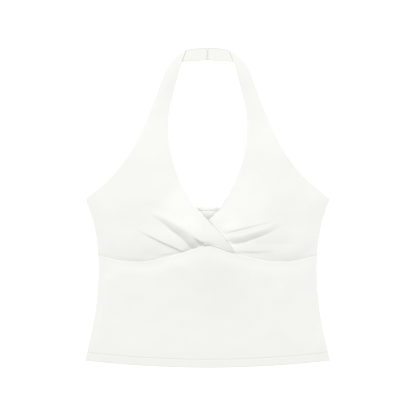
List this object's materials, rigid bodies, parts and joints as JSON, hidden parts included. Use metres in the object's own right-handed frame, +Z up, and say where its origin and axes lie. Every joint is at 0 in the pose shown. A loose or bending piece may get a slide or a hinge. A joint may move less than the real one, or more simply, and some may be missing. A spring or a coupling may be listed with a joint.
{
  "type": "halter neck top",
  "caption": "Sleeveless halter neck top in off-white knit, laid flat: crossed and gathered bust, straps joined behind the neck, fitted waist, stitched hem.",
  "frame": {"origin": "on the surface that the top lies on, at the middle of its overall width and of its length from hem to neck band", "axes": "+X to the right of someone looking down on the front, +Y from the hem to the neck, +Z up from the surface"},
  "size_m": [0.4026, 0.5252, 0.0154],
  "materials": {
    "body_knit": "matt off-white fine knit",
    "halter_knit": "matt off-white fine knit, doubled",
    "band_knit": "matt off-white fine knit, wrong side"
  },
  "bodies": {
    "root": {"back_panel": "body_knit", "back_top_band": "band_knit", "front_waist_panel": "body_knit", "halter_left": "halter_knit", "halter_right": "halter_knit"}
  },
  "joints": []
}
